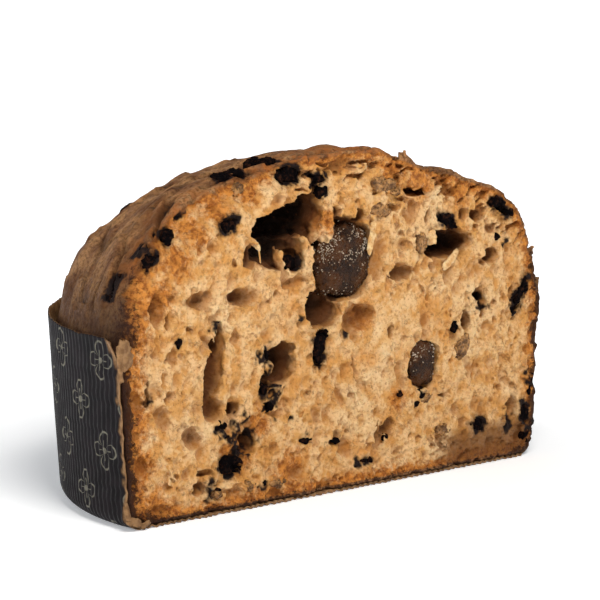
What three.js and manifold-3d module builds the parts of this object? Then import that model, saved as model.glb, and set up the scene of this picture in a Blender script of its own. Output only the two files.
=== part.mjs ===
// Half of a low round panettone with candied chestnuts and chocolate, in its cut paper baking case.
// Millimetres, +Z up. The cut face looks along -Y and the whole stands on Z = 0, with the origin
// under the middle of its box. Inside this file the loaf's round axis is X = Y = 0 and the knife
// went along Y = 0; the last group moves everything back by half the case's radius.
import * as THREE from "three";
import { mergeVertices } from "three/addons/utils/BufferGeometryUtils.js";
import { ImprovedNoise } from "three/addons/math/ImprovedNoise.js";
import Module from "manifold-3d";

// Driving dimensions of the paper case
const CASE_RADIUS = 105;
const CASE_HEIGHT = 66.4;
const CASE_TAPER = 3.8;
const CASE_CORNER = 6.7;
const CASE_WALL = 0.6;
const FLUTES = 240;
const FLUTE_DEPTH = 0.4;

// Driving dimensions of the loaf
const GAP = 0.35;
const TUCK_HEIGHT = 58;
const RIM_GAP = 4.3;
const SHOULDER_HEIGHT = 66.5;
const DOME = [
  [97.2, 80],
  [88.5, 93.5],
  [70, 106.5],
  [50, 114.3],
  [25, 120.6],
  [0, 122.8],
];

// How finely the surfaces are divided
const LOAF_SEGMENTS = 64;
const CASE_LINING_SEGMENTS = 80;
const CORNER_STEPS = 2;
const DOME_STEPS = 12;
const CUT_GRID = 5.8;

// Relief of the crust: broad swells, smaller lumps, and the places where it blistered or sank
const CRUST_SWELL = { rise: 1.3, span: 24 };
const CRUST_LUMP = { rise: 0.6, span: 10 };
const FREE_CRUST = { from: TUCK_HEIGHT + 8, to: SHOULDER_HEIGHT + 16 };
const BLISTERS = [
  { x: 1, y: 13, reach: 15, rise: 2.2 },
  { x: -60, y: 24, reach: 19, rise: 1.8 },
  { x: 31, y: 1, reach: 8, rise: 2 },
  { x: 39, y: 2, reach: 25, rise: -4.3 },
  { x: 20, y: 50, reach: 26, rise: 2 },
  { x: -25, y: 66, reach: 22, rise: -1.6 },
];

// Relief of the cut: uneven crumb everywhere, and an edge that broke away under the crust
const CRUMB_RELIEF = { depth: 0.9, span: 9 };
const BROKEN_EDGE = { from: -92, to: -18, fade: 12, width: 13, depth: 7, uneven: 0.3 };

// Holes in the crumb, as the middle of each on the cut face, its size there and its depth
const HOLES = [
  { x: 2, z: 84, width: 32, height: 31, depth: 14 },
  { x: -26, z: 98, width: 33, height: 12, depth: 26 },
  { x: -28, z: 89.5, width: 24, height: 12, depth: 13 },
  { x: -10.5, z: 107, width: 6, height: 8, depth: 9 },
  { x: -43, z: 89, width: 8, height: 9, depth: 7 },
  { x: -8, z: 66.5, width: 19, height: 14, depth: 13, lean: 0.3 },
  { x: 55, z: 84.5, width: 25, height: 11.5, depth: 15 },
  { x: -60, z: 56, width: 9, height: 24, depth: 7, lean: -0.2 },
  { x: -60, z: 40, width: 11, height: 15, depth: 6 },
  { x: -30, z: 49, width: 17, height: 15, depth: 12 },
  { x: -47, z: 75, width: 14, height: 8, depth: 5 },
  { x: -66, z: 76.5, width: 12, height: 8, depth: 4 },
  { x: -86.5, z: 75, width: 8, height: 12, depth: 5 },
  { x: 9, z: 61.5, width: 17, height: 11, depth: 4 },
  { x: 30, z: 76, width: 13, height: 7, depth: 4 },
  { x: -22, z: 78, width: 15, height: 5, depth: 4 },
  { x: -46, z: 23, width: 10, height: 7, depth: 7, lean: 0.5 },
  { x: -71, z: 28.5, width: 11, height: 8, depth: 4 },
  { x: 88, z: 19, width: 7, height: 11, depth: 5 },
  { x: 63, z: 94.5, width: 6, height: 6, depth: 6 },
  { x: 71, z: 61.5, width: 6, height: 12, depth: 9, lean: 0.3 },
  { x: 63.5, z: 54.5, width: 6, height: 7, depth: 8 },
  { x: 38, z: 107, width: 17, height: 5, depth: 8, lean: 0.15 },
];

// Candied chestnuts that the knife laid open; middle and front are how far behind the cut each one
// has its middle and its own cut face
const CHESTNUTS = [
  { name: "chestnut_large", x: 2.5, z: 83.5, width: 29, height: 28, depth: 24, middle: 7, front: 0.8 },
  { name: "chestnut_small", x: 42, z: 41, width: 15, height: 17, depth: 13, middle: 3, front: 0.5 },
  { name: "chestnut_piece_1", x: 62, z: 45, width: 7, height: 12, depth: 6, lean: 0.6 },
  { name: "chestnut_piece_2", x: 40.5, z: 86, width: 7, height: 9, depth: 6, lean: -0.3 },
  { name: "chestnut_piece_3", x: 20.5, z: 109, width: 14, height: 6, depth: 7, lean: 0.1 },
];

// Chocolate pieces in the cut face
const CUT_CHOCOLATE = [
  { x: -53.5, z: 101.3, width: 10, height: 4.5, depth: 6, lean: -0.45 },
  { x: -23.5, z: 116, width: 10.5, height: 7.5, depth: 7, middle: 4.5, front: 2.5 },
  { x: -11.5, z: 113.5, width: 9, height: 5, depth: 7, middle: 4, front: 1.5 },
  { x: -21.5, z: 85, width: 7, height: 7, depth: 8, middle: 6, front: 2 },
  { x: -54, z: 16.5, width: 12, height: 7.5, depth: 8 },
  { x: -10.5, z: 52.5, width: 6, height: 13, depth: 7, lean: -0.1 },
  { x: 53.5, z: 93, width: 9, height: 4.5, depth: 6, lean: 0.15 },
  { x: 71, z: 14.8, width: 6.5, height: 6, depth: 6 },
  { x: 82, z: 95, width: 5, height: 12, depth: 7, lean: -0.9 },
  { x: 92.5, z: 61.5, width: 5, height: 18, depth: 7, lean: 0.55 },
  { x: 95, z: 17, width: 5.5, height: 8, depth: 6 },
];

// Chocolate pieces in the crust, as an angle round the axis and a radius from it; along is the
// size down the slope and across the size round the loaf
const CRUST_CHOCOLATE = [
  { angle: 171.5, radius: 95.8, along: 12, across: 7, thick: 5 },
  { angle: 174, radius: 87.5, along: 6.5, across: 6, thick: 5 },
  { angle: 178.2, radius: 88.5, along: 9, across: 5.5, thick: 5 },
  { angle: 175.5, radius: 80, along: 6, across: 8, thick: 5 },
  { angle: 155.5, radius: 44, along: 13, across: 19, thick: 7 },
  { angle: 152.3, radius: 31, along: 15, across: 12, thick: 7 },
  { angle: 62, radius: 55, along: 12, across: 9, thick: 5 },
  { angle: 118, radius: 84, along: 9, across: 12, thick: 5 },
  { angle: 38, radius: 86, along: 10, across: 8, thick: 5 },
];

// How far behind the cut an inclusion's own cut face lies, how much of a crust piece's thickness
// its middle is sunk, and the widths from which chestnuts and holes are made with more faces
const FRONT = 0.25;
const SUNK_SHARE = 0.25;
const WIDE_CHESTNUT = 14.5;
const WIDE_HOLE = 20;

// How round and how uneven each kind of lump is, and how far a cube's grid shrinks as it rounds
const CHESTNUT_FORM = { roundness: 0.95, rough: 0.1 };
const CHOCOLATE_FORM = { roundness: 0.7, rough: 0.2 };
const HOLE_FORM = { roundness: 0.9, rough: 0.14 };
const CUBE_SHARE = 0.8;
const UNEVEN_SPAN = 0.9;

// How far the block behind the cut reaches past the loaf on every side
const MARGIN = 5;

const LOOKS = {
  crumb: { colour: 0xd9ae72, roughness: 0.9 },
  paper: { colour: 0x2a2426, roughness: 0.6 },
  chocolate: { colour: 0x1f1614, roughness: 0.5 },
  chestnut: { colour: 0x5b3a22, roughness: 0.35 },
};

const wasm = await Module();
wasm.setup();
const field = new ImprovedNoise();

// A closed mesh as a solid that can be joined and cut
function toSolid(geometry) {
  const bare = geometry.clone();
  bare.deleteAttribute("normal");
  bare.deleteAttribute("uv");
  const merged = mergeVertices(bare, 1e-3);
  const corners = [];
  for (let i = 0; i < merged.index.count; i += 3) {
    const [a, b, c] = merged.index.array.slice(i, i + 3);
    if (a !== b && b !== c && c !== a) {
      corners.push(a, b, c);
    }
  }
  return new wasm.Manifold(
    new wasm.Mesh({
      numProp: 3,
      vertProperties: new Float32Array(merged.attributes.position.array),
      triVerts: new Uint32Array(corners),
    }),
  );
}

function toGeometry(solid) {
  const mesh = solid.getMesh();
  const geometry = new THREE.BufferGeometry();
  geometry.setAttribute("position", new THREE.BufferAttribute(mesh.vertProperties, 3));
  geometry.setIndex(new THREE.BufferAttribute(mesh.triVerts, 1));
  geometry.computeVertexNormals();
  return geometry;
}

// Moves every vertex by a rule that depends only on its place, so that shared corners stay shared
function reshape(geometry, rule) {
  const place = geometry.attributes.position;
  const normals = geometry.attributes.normal;
  const point = new THREE.Vector3();
  const normal = new THREE.Vector3();
  for (let i = 0; i < place.count; i++) {
    point.fromBufferAttribute(place, i);
    normal.fromBufferAttribute(normals, i);
    rule(point, normal);
    place.setXYZ(i, point.x, point.y, point.z);
  }
  return geometry;
}

function noiseAt(point, span, seed = 0) {
  return field.noise(point.x / span + seed, point.y / span, point.z / span);
}

// 1 in the middle, 0 from the reach outwards, smooth between
function hump(distance, reach) {
  return 1 - THREE.MathUtils.smoothstep(distance, 0, reach);
}

// The half section of the case's cup form, moved inwards by inset, from the axis to the wall's foot
function cupFoot(inset) {
  const corner = CASE_CORNER - inset;
  const foot = CASE_RADIUS - CASE_TAPER - CASE_CORNER;
  const points = [new THREE.Vector2(0, inset)];
  for (let step = 0; step <= CORNER_STEPS; step++) {
    const turn = (step / CORNER_STEPS) * (Math.PI / 2);
    const radius = foot + corner * Math.sin(turn);
    points.push(new THREE.Vector2(radius, CASE_CORNER - corner * Math.cos(turn)));
  }
  return points;
}

// The radius of the case's wall, which leans outwards, at a height
function wallRadius(height, inset) {
  const share = (height - CASE_CORNER) / (CASE_HEIGHT - CASE_CORNER);
  return CASE_RADIUS - CASE_TAPER * (1 - share) - inset;
}

function lathe(points, segments) {
  return new THREE.LatheGeometry(points, segments).rotateX(Math.PI / 2);
}

// Everything behind the cut, with the cut face given by how deep it lies at each place
function behindCut(depthAt, step) {
  const width = 2 * (CASE_RADIUS + MARGIN);
  const height = DOME.at(-1)[1] + 2 * MARGIN;
  const back = CASE_RADIUS + MARGIN;
  const across = Math.round(width / step);
  const up = Math.round(height / step);
  const block = new THREE.BoxGeometry(width, back, height, across, 1, up);
  block.translate(0, back / 2, height / 2 - MARGIN);
  return reshape(block, (point) => {
    if (point.y < back / 2) {
      point.y = depthAt(point.x, point.z);
    }
  });
}

// The loaf's half section: the foot that the case moulded, the tuck under the rim and the dome
function loafProfile() {
  const inset = CASE_WALL + FLUTE_DEPTH + GAP;
  const points = cupFoot(inset);
  points.push(new THREE.Vector2(wallRadius(TUCK_HEIGHT / 2, inset), TUCK_HEIGHT / 2));
  points.push(new THREE.Vector2(wallRadius(TUCK_HEIGHT, inset), TUCK_HEIGHT));
  const shoulder = new THREE.Vector2(CASE_RADIUS - RIM_GAP, SHOULDER_HEIGHT);
  const dome = DOME.map(([radius, height]) => new THREE.Vector2(radius, height));
  const curve = new THREE.SplineCurve([shoulder, ...dome]);
  points.push(...curve.getSpacedPoints(DOME_STEPS));
  points.at(-1).x = 0;
  return points;
}

// Height of the smooth dome at a radius
const dome = loafProfile().slice(-DOME_STEPS - 1);
function domeHeight(radius) {
  const inner = dome.findIndex((point) => point.x < radius);
  if (inner < 1) {
    return inner < 0 ? dome.at(-1).y : dome[0].y;
  }
  const [low, high] = [dome[inner - 1], dome[inner]];
  return THREE.MathUtils.mapLinear(radius, low.x, high.x, low.y, high.y);
}

// How far blisters and hollows lift the crust over a place
function blisterRise(atX, atY) {
  let total = 0;
  for (const { x, y, reach, rise } of BLISTERS) {
    total += rise * hump(Math.hypot(atX - x, atY - y), reach);
  }
  return total;
}

function crustRelief(point, normal) {
  const free = THREE.MathUtils.smoothstep(point.z, FREE_CRUST.from, FREE_CRUST.to);
  const swell = CRUST_SWELL.rise * noiseAt(point, CRUST_SWELL.span, 3.7);
  const lump = CRUST_LUMP.rise * noiseAt(point, CRUST_LUMP.span, 8.2);
  point.addScaledVector(normal, free * (swell + lump));
  point.z += free * blisterRise(point.x, point.y);
}

// How deep the cut face lies behind the knife's plane
function cutDepth(x, z) {
  const place = new THREE.Vector3(x, 0, z);
  const crumb = CRUMB_RELIEF.depth * (0.5 + 0.5 * noiseAt(place, CRUMB_RELIEF.span, 1.3));
  const { from, to, fade, width, depth, uneven } = BROKEN_EDGE;
  const enter = THREE.MathUtils.smoothstep(x, from, from + fade);
  const leave = 1 - THREE.MathUtils.smoothstep(x, to - fade, to);
  const under = domeHeight(Math.abs(x)) - z;
  const broken = enter * leave * hump(Math.max(under, 0), width);
  return crumb + broken * depth * (1 + uneven * noiseAt(place, CRUMB_RELIEF.span, 5.1));
}

// A rounded lump: a cube's grid drawn towards a ball by roundness, then made uneven
function lump({ width, height, depth, lean = 0 }, { roundness, rough }, steps, seed) {
  const geometry = new THREE.BoxGeometry(2, 2, 2, steps, steps, steps);
  reshape(geometry, (point) => {
    const ball = point.clone().normalize();
    point.multiplyScalar(CUBE_SHARE).lerp(ball, roundness);
    point.multiplyScalar(1 + rough * noiseAt(point, UNEVEN_SPAN, seed));
  });
  geometry.scale(width / 2, depth / 2, height / 2);
  geometry.rotateY(lean);
  return geometry;
}

function makeMesh(name, geometry, { colour, roughness }) {
  const material = new THREE.MeshStandardMaterial({ color: colour, roughness, metalness: 0 });
  const mesh = new THREE.Mesh(geometry, material);
  mesh.name = name;
  return mesh;
}

// Everything from front behind the knife's plane onwards
function behindKnife(front) {
  const side = 4 * CASE_RADIUS;
  return toSolid(new THREE.BoxGeometry(side, side, side).translate(0, front + side / 2, 0));
}

// An inclusion as its own solid, cut off by the knife, and the slightly larger pocket it lies in
function setInclusion(name, form, place, look) {
  const { size, kind, steps, seed, front } = form;
  const grown = {
    ...size,
    width: size.width + 2 * GAP,
    height: size.height + 2 * GAP,
    depth: size.depth + 2 * GAP,
  };
  const shape = place(lump(size, kind, steps, seed));
  const pocket = place(lump(grown, kind, steps, seed));
  const solid = toSolid(shape).intersect(behindKnife(front));
  return {
    mesh: makeMesh(name, toGeometry(solid), look),
    pocket: toSolid(pocket),
  };
}

// Puts an inclusion in the cut face
function inCut(entry) {
  const middle = entry.middle ?? entry.depth / 4;
  return (geometry) => geometry.translate(entry.x, middle, entry.z);
}

// Sinks an inclusion in the crust, turned so that its thickness stands on the slope
function onCrust({ angle, radius, thick }) {
  const turn = THREE.MathUtils.degToRad(angle);
  const rise = blisterRise(radius * Math.cos(turn), radius * Math.sin(turn));
  const step = 2;
  const fall = domeHeight(radius - step) - domeHeight(radius + step);
  const slope = Math.atan2(fall, 2 * step);
  const sink = thick * SUNK_SHARE;
  const out = radius - sink * Math.sin(slope);
  const up = domeHeight(radius) + rise - sink * Math.cos(slope);
  return (geometry) => {
    geometry.rotateY(slope);
    geometry.translate(out, 0, up);
    return geometry.rotateZ(turn);
  };
}

function chestnuts() {
  return CHESTNUTS.map((entry, i) => {
    const steps = entry.width > WIDE_CHESTNUT ? 4 : 3;
    const front = entry.front ?? FRONT;
    const form = { size: entry, kind: CHESTNUT_FORM, steps, seed: i + 0.4, front };
    return setInclusion(entry.name, form, inCut(entry), LOOKS.chestnut);
  });
}

function chocolates() {
  const inFace = CUT_CHOCOLATE.map((entry) => [entry, inCut(entry), entry.front ?? FRONT]);
  const inTop = CRUST_CHOCOLATE.map((entry) => {
    const size = { width: entry.along, depth: entry.across, height: entry.thick };
    return [size, onCrust(entry), FRONT];
  });
  return [...inFace, ...inTop].map(([size, place, front], i) => {
    const name = `chocolate_${String(i + 1).padStart(2, "0")}`;
    const form = { size, kind: CHOCOLATE_FORM, steps: 2, seed: i * 1.7, front };
    return setInclusion(name, form, place, LOOKS.chocolate);
  });
}

function makeLoaf(pockets) {
  const whole = reshape(lathe(loafProfile(), LOAF_SEGMENTS), crustRelief);
  let solid = toSolid(whole).intersect(toSolid(behindCut(cutDepth, CUT_GRID)));
  HOLES.forEach((hole, i) => {
    const size = { ...hole, depth: 2 * hole.depth };
    const steps = hole.width > WIDE_HOLE ? 4 : 3;
    const shape = lump(size, HOLE_FORM, steps, i * 2.3);
    shape.translate(hole.x, 0, hole.z);
    solid = solid.subtract(toSolid(shape));
  });
  for (const pocket of pockets) {
    solid = solid.subtract(pocket);
  }
  return makeMesh("loaf", toGeometry(solid), LOOKS.crumb);
}

// The paper case: fluted outside, smooth where it meets the loaf, cut off flush with the crumb
function makeCase() {
  const outside = cupFoot(0);
  outside.push(new THREE.Vector2(CASE_RADIUS, CASE_HEIGHT));
  outside.push(new THREE.Vector2(0, CASE_HEIGHT));
  const cup = reshape(lathe(outside, 2 * FLUTES), (point) => {
    const radius = Math.hypot(point.x, point.y);
    const column = Math.round((Math.atan2(point.y, point.x) / Math.PI) * FLUTES);
    const rise = THREE.MathUtils.smoothstep(point.z, 0, CASE_CORNER);
    if (column % 2 !== 0 && radius > CASE_RADIUS / 2) {
      const share = (radius - FLUTE_DEPTH * rise) / radius;
      point.x *= share;
      point.y *= share;
    }
  });
  const inset = CASE_WALL + FLUTE_DEPTH;
  const inside = cupFoot(inset);
  inside.push(new THREE.Vector2(wallRadius(CASE_HEIGHT, inset), CASE_HEIGHT));
  inside.push(new THREE.Vector2(wallRadius(CASE_HEIGHT, inset), CASE_HEIGHT + MARGIN));
  inside.push(new THREE.Vector2(0, CASE_HEIGHT + MARGIN));
  const lining = toSolid(lathe(inside, CASE_LINING_SEGMENTS));
  const half = toSolid(behindCut(() => 0, 2 * CASE_RADIUS));
  const solid = toSolid(cup).intersect(half).subtract(lining);
  return makeMesh("paper_case", toGeometry(solid), LOOKS.paper);
}

const inclusions = [...chestnuts(), ...chocolates()];
const panettone = new THREE.Group();
panettone.add(makeLoaf(inclusions.map(({ pocket }) => pocket)));
panettone.add(makeCase());
for (const { mesh } of inclusions) {
  panettone.add(mesh);
}
panettone.position.y = -CASE_RADIUS / 2;

export default panettone;
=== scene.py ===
"""Half of a low panettone with candied chestnuts and chocolate in its cut paper case.

Lengths are millimetres in the loaf's own frame until they become mesh points: X runs along the
cut, Y from the knife's plane (0) to the round back, Z up from the table. The round axis of the
loaf is X = Y = 0. place() turns them into metres in the part's frame.
"""

import math

import bpy
import numpy as np
import openvdb
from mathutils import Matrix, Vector


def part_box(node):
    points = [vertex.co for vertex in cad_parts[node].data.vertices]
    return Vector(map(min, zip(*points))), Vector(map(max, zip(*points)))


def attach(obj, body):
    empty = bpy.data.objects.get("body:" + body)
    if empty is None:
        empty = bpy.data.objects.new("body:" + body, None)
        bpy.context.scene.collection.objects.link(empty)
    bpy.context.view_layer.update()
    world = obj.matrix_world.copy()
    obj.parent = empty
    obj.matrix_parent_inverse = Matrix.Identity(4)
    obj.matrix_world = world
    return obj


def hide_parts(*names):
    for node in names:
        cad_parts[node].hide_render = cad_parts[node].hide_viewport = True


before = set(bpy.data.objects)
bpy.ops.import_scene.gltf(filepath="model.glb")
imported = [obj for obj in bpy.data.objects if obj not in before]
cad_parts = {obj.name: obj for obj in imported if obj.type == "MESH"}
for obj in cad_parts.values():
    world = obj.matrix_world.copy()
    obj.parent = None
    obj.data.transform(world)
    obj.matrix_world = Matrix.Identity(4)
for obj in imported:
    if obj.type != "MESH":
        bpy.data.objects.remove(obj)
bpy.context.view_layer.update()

MM = 0.001
# The case in mm: how much narrower it is at its foot, the foot's corner, its flutes, its paper, and
# how far inside the case's form the loaf begins
CASE_LOW, CASE_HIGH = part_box("paper_case")
KNIFE_Y = CASE_LOW.y
CASE_RADIUS = (CASE_HIGH.x - CASE_LOW.x) / 2 / MM
CASE_HEIGHT = CASE_HIGH.z / MM
CASE_TAPER = 3.8
CASE_CORNER = 6.7
FLUTES = 240
FLUTE_DEPTH = 0.4
PAPER = 0.4
LINING = 1.35

# Up to where the loaf lies against its case, and its half section from there: radius and height
TUCK_HEIGHT = 58
SHOULDER = (100.7, 66.5)
DOME = [SHOULDER, (97.2, 80), (88.5, 93.5), (70, 106.5), (50, 114.3), (25, 120.6), (0, 122.8)]

# The camera that the photograph was taken with, fitted to the case's rim, foot and corners
VIEW_AZIMUTH = math.radians(-43.29)
VIEW_ELEVATION = math.radians(8.94)
VIEW_DISTANCE = 1355.0
VIEW_TARGET = (-15.3, 69.5)
PHOTO_SIDE = 600
FOCAL_PIXELS = 3810.7

# How finely the bread is worked out, in mm, and how far behind the cut it stays that fine
CELL = 0.4
FINE_DEPTH = 9.0
# The same for the chestnuts, chocolate and crumbs, and how far round them in such cells
LUMP_CELL = 0.3
LUMP_BAND = 10
# The grid in which the distance to a CAD piece is read: its step in mm, and its reach in steps
GRID_STEP = 0.5
GRID_BAND = 8


def place(points):
    """Points in the loaf's frame, in mm, as metres in the part's frame."""
    out = np.asarray(points, float) * MM
    out[:, 1] += KNIFE_Y
    return out


def unplace(points):
    """Points in the part's frame, in metres, as mm in the loaf's frame."""
    out = np.array(points, float)
    out[:, 1] -= KNIFE_Y
    return out / MM


def smooth(value, low, high):
    """0 below low, 1 above high, with a smooth step between."""
    t = np.clip((value - low) / (high - low), 0, 1)
    return t * t * (3 - 2 * t)


def hump(distance, reach):
    """1 in the middle, 0 from the reach outwards."""
    return 1 - smooth(distance, 0, reach)


def read_between(values, scaled):
    """Values of a grid read between its crossings, at the scaled places of each axis in turn."""
    out = values
    for axis, where in enumerate(scaled):
        whole = np.floor(where).astype(int)
        shape = [1, 1, 1]
        shape[axis] = len(where)
        part = (where - whole).astype(np.float32).reshape(shape)
        side = values.shape[axis]
        low = np.take(out, whole % side, axis=axis)
        out = low + (np.take(out, (whole + 1) % side, axis=axis) - low) * part
    return out


def crossed(axes):
    """Three axes shaped so that together they spread over a grid."""
    return [a.reshape([-1 if k == i else 1 for i in range(3)]) for k, a in enumerate(axes)]


def ellipsoid_distance(dx, dy, dz, radii, lean):
    """Distance to an ellipsoid that leans in the cut face, about in mm."""
    c, s = math.cos(lean), math.sin(lean)
    u, v, w = (dx * c + dz * s) / radii[0], (dz * c - dx * s) / radii[2], dy / radii[1]
    return (np.sqrt(u * u + v * v + w * w) - 1) * min(radii)


class Noise:
    """Smooth noise from -1 to 1 on a lattice of random values, the same on every run."""

    SIDE = 64
    SHIFT = 1000.37

    def __init__(self, seed):
        self.table = np.random.default_rng(seed).uniform(-1, 1, (self.SIDE,) * 3).astype(np.float32)

    def at(self, points, span):
        """Noise at scattered points."""
        spans = np.broadcast_to(np.asarray(span, float), (3,))
        scaled = np.asarray(points, float) / spans + self.SHIFT
        whole = np.floor(scaled).astype(int)
        part = scaled - whole
        part = part * part * (3 - 2 * part)
        total = np.zeros(len(scaled))
        for i in (0, 1):
            for j in (0, 1):
                for k in (0, 1):
                    weight = np.prod([part[:, a] if up else 1 - part[:, a]
                                      for a, up in enumerate((i, j, k))], axis=0)
                    corner = (whole + (i, j, k)) % self.SIDE
                    total += weight * self.table[corner[:, 0], corner[:, 1], corner[:, 2]]
        return total

    def over(self, x, y, z, span):
        """The same noise at arrays of coordinates, or numbers, in their common shape."""
        x, y, z = np.broadcast_arrays(x, y, z)
        return self.at(np.stack([x.ravel(), y.ravel(), z.ravel()], 1), span).reshape(x.shape)

    def on(self, axes, span):
        """The same noise at the crossings of three axes."""
        spans = np.broadcast_to(np.asarray(span, float), (3,))
        scaled = []
        for places, step in zip(axes, spans):
            where = places / step + self.SHIFT
            part = where - np.floor(where)
            scaled.append(np.floor(where) + part * part * (3 - 2 * part))
        return read_between(self.table, scaled)


class Cells:
    """Rounded cups of random size and depth, as a knife leaves them when it opens foam."""

    SIDE = 128

    def __init__(self, seed):
        rng = np.random.default_rng(seed)
        self.shift = rng.uniform(0.1, 0.9, (2, self.SIDE, self.SIDE)).astype(np.float32)
        self.size = rng.uniform(0.25, 1.0, (self.SIDE, self.SIDE)).astype(np.float32)
        self.open = rng.uniform(0, 1, (self.SIDE, self.SIDE)).astype(np.float32)

    def depth(self, x, z, spans, share):
        """How deep the cups are, in cup radii, where a share of them is open."""
        u, v = x / spans[0] + 50, z / spans[1] + 50
        i, j = np.floor(u).astype(int), np.floor(v).astype(int)
        out = np.zeros(np.broadcast(u, v).shape, np.float32)
        for di in (-1, 0, 1):
            for dj in (-1, 0, 1):
                spot = ((i + di) % self.SIDE, (j + dj) % self.SIDE)
                across = u - i - di - self.shift[0][spot]
                up = v - j - dj - self.shift[1][spot]
                size = self.size[spot]
                deep = np.where(self.open[spot] < share, 1.0, 0.2) * size
                out = np.maximum(out, deep * (1 - (across ** 2 + up ** 2) / (0.62 * size) ** 2))
        return out


# The loaf's and the case's half sections

def catmull_rom(points, count):
    """A smooth curve through the points, as count points from the first to the last."""
    p = np.array(points, float)
    p = np.vstack([2 * p[0] - p[1], p, 2 * p[-1] - p[-2]])
    t = np.linspace(0, len(points) - 1, count)
    i = np.minimum(t.astype(int), len(points) - 2)
    f = (t - i)[:, None]
    a, b, c, d = p[i], p[i + 1], p[i + 2], p[i + 3]
    return 0.5 * (
        2 * b + (c - a) * f + (2 * a - 5 * b + 4 * c - d) * f ** 2 + (3 * b - a - 3 * c + d) * f ** 3
    )


def cup_foot(inset, steps=8):
    """The rounded foot of the case's form, moved inwards by inset, as radius and height."""
    corner = CASE_CORNER - inset
    middle = CASE_RADIUS - CASE_TAPER - CASE_CORNER
    turn = np.linspace(0, math.pi / 2, steps)
    return np.stack([middle + corner * np.sin(turn), CASE_CORNER - corner * np.cos(turn)], 1)


def wall_radius(height, inset=0.0):
    """The radius of the case's wall at a height."""
    share = (height - CASE_CORNER) / (CASE_HEIGHT - CASE_CORNER)
    return CASE_RADIUS - CASE_TAPER * (1 - share) - inset


def loaf_outline():
    """The loaf's half section from the floor's middle up to the top."""
    wall = np.array([(wall_radius(z, LINING), z) for z in (TUCK_HEIGHT / 2, TUCK_HEIGHT)])
    return np.vstack([[(0, LINING)], cup_foot(LINING), wall, catmull_rom(DOME, 60)])


OUTLINE = loaf_outline()
DOME_CURVE = OUTLINE[-60:]
# The table of distances to the outline: its step, first radius and height, and size
TABLE_STEP = 0.5
TABLE_ORIGIN = (-1.0, -6.0)
TABLE_SHAPE = (240, 290)


def distance_table():
    """Signed distance to the loaf's half section, negative inside, by radius and height."""
    r = TABLE_ORIGIN[0] + TABLE_STEP * np.arange(TABLE_SHAPE[0])
    z = TABLE_ORIGIN[1] + TABLE_STEP * np.arange(TABLE_SHAPE[1])
    rr, zz = np.meshgrid(r, z, indexing="ij")
    nearest = np.full(rr.shape, 1e9)
    for a, b in zip(OUTLINE[:-1], OUTLINE[1:]):
        along = b - a
        t = ((rr - a[0]) * along[0] + (zz - a[1]) * along[1]) / max(along @ along, 1e-9)
        t = np.clip(t, 0, 1)
        nearest = np.minimum(nearest, np.hypot(rr - a[0] - t * along[0], zz - a[1] - t * along[1]))
    edge = np.interp(zz, OUTLINE[1:, 1], OUTLINE[1:, 0], left=-1e3, right=-1e3)
    inside = (np.abs(rr) < edge) & (zz > LINING)
    return np.where(inside, -nearest, nearest).astype(np.float32)


DISTANCE = distance_table()


def outline_distance(radius, height):
    """Signed distance to the smooth outline, read from the table."""
    u = np.clip((radius - TABLE_ORIGIN[0]) / TABLE_STEP, 0, TABLE_SHAPE[0] - 1.01)
    v = np.clip((height - TABLE_ORIGIN[1]) / TABLE_STEP, 0, TABLE_SHAPE[1] - 1.01)
    i, j = u.astype(np.int32), v.astype(np.int32)
    fu, fv = u - i, v - j
    low = DISTANCE[i, j] * (1 - fv) + DISTANCE[i, j + 1] * fv
    high = DISTANCE[i + 1, j] * (1 - fv) + DISTANCE[i + 1, j + 1] * fv
    return low * (1 - fu) + high * fu


def dome_height(radius):
    """Height of the smooth dome at a radius."""
    return np.interp(np.abs(radius), DOME_CURVE[::-1, 0], DOME_CURVE[::-1, 1])


# What shows on the crust and in the cut

# Swells of the crust: middle (x, y), reach and rise
BLISTERS = [(-2, 13, 9, 1.9), (5, 13, 9, 2.0), (-60, 24, 19, 1.8), (39, 2, 25, -4.3),
            (20, 50, 26, 2.0), (-25, 66, 22, -1.6), (-42, 34, 10, 1.5), (-78, 40, 14, -1.2),
            (82, 2, 18, 1.8), (-30, 26, 7, -1.5), (-50, 12, 8, -1.6), (-68, 14, 9, 1.5)]
# Folds in the crust: both ends (x, y), height and width; a crack runs along the near side of each
FOLDS = [((-96, 16), (-83, 24), 1.3, 4), ((-88, 8), (-72, 17), 1.6, 4), ((-80, 6), (-60, 13), 1.8, 4.5),
         ((-66, 5), (-44, 9), 1.6, 4), ((-74, 22), (-52, 25), 1.2, 5), ((-47, 14), (-30, 10), 1.4, 3.5),
         ((-97, 28), (-90, 42), 1.2, 4), ((-84, 34), (-70, 42), 1.0, 4), ((-20, 8), (-2, 6), 1.2, 3),
         ((-40, 28), (-18, 24), 1.0, 4), ((10, 6), (26, 5), 1.0, 3), ((44, 6), (66, 6), 1.0, 3)]
# Seeded folds all over the dome
LOOSE_FOLDS = {"count": 34, "length": (6, 22), "rise": (0.4, 1.3), "width": (2.5, 5.0)}
# The stretch under the crust where the bread broke away instead of being cut
BROKEN_EDGE = {"from": -112, "to": -16, "fade": 14, "width": 13, "depth": 7.0}

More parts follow.
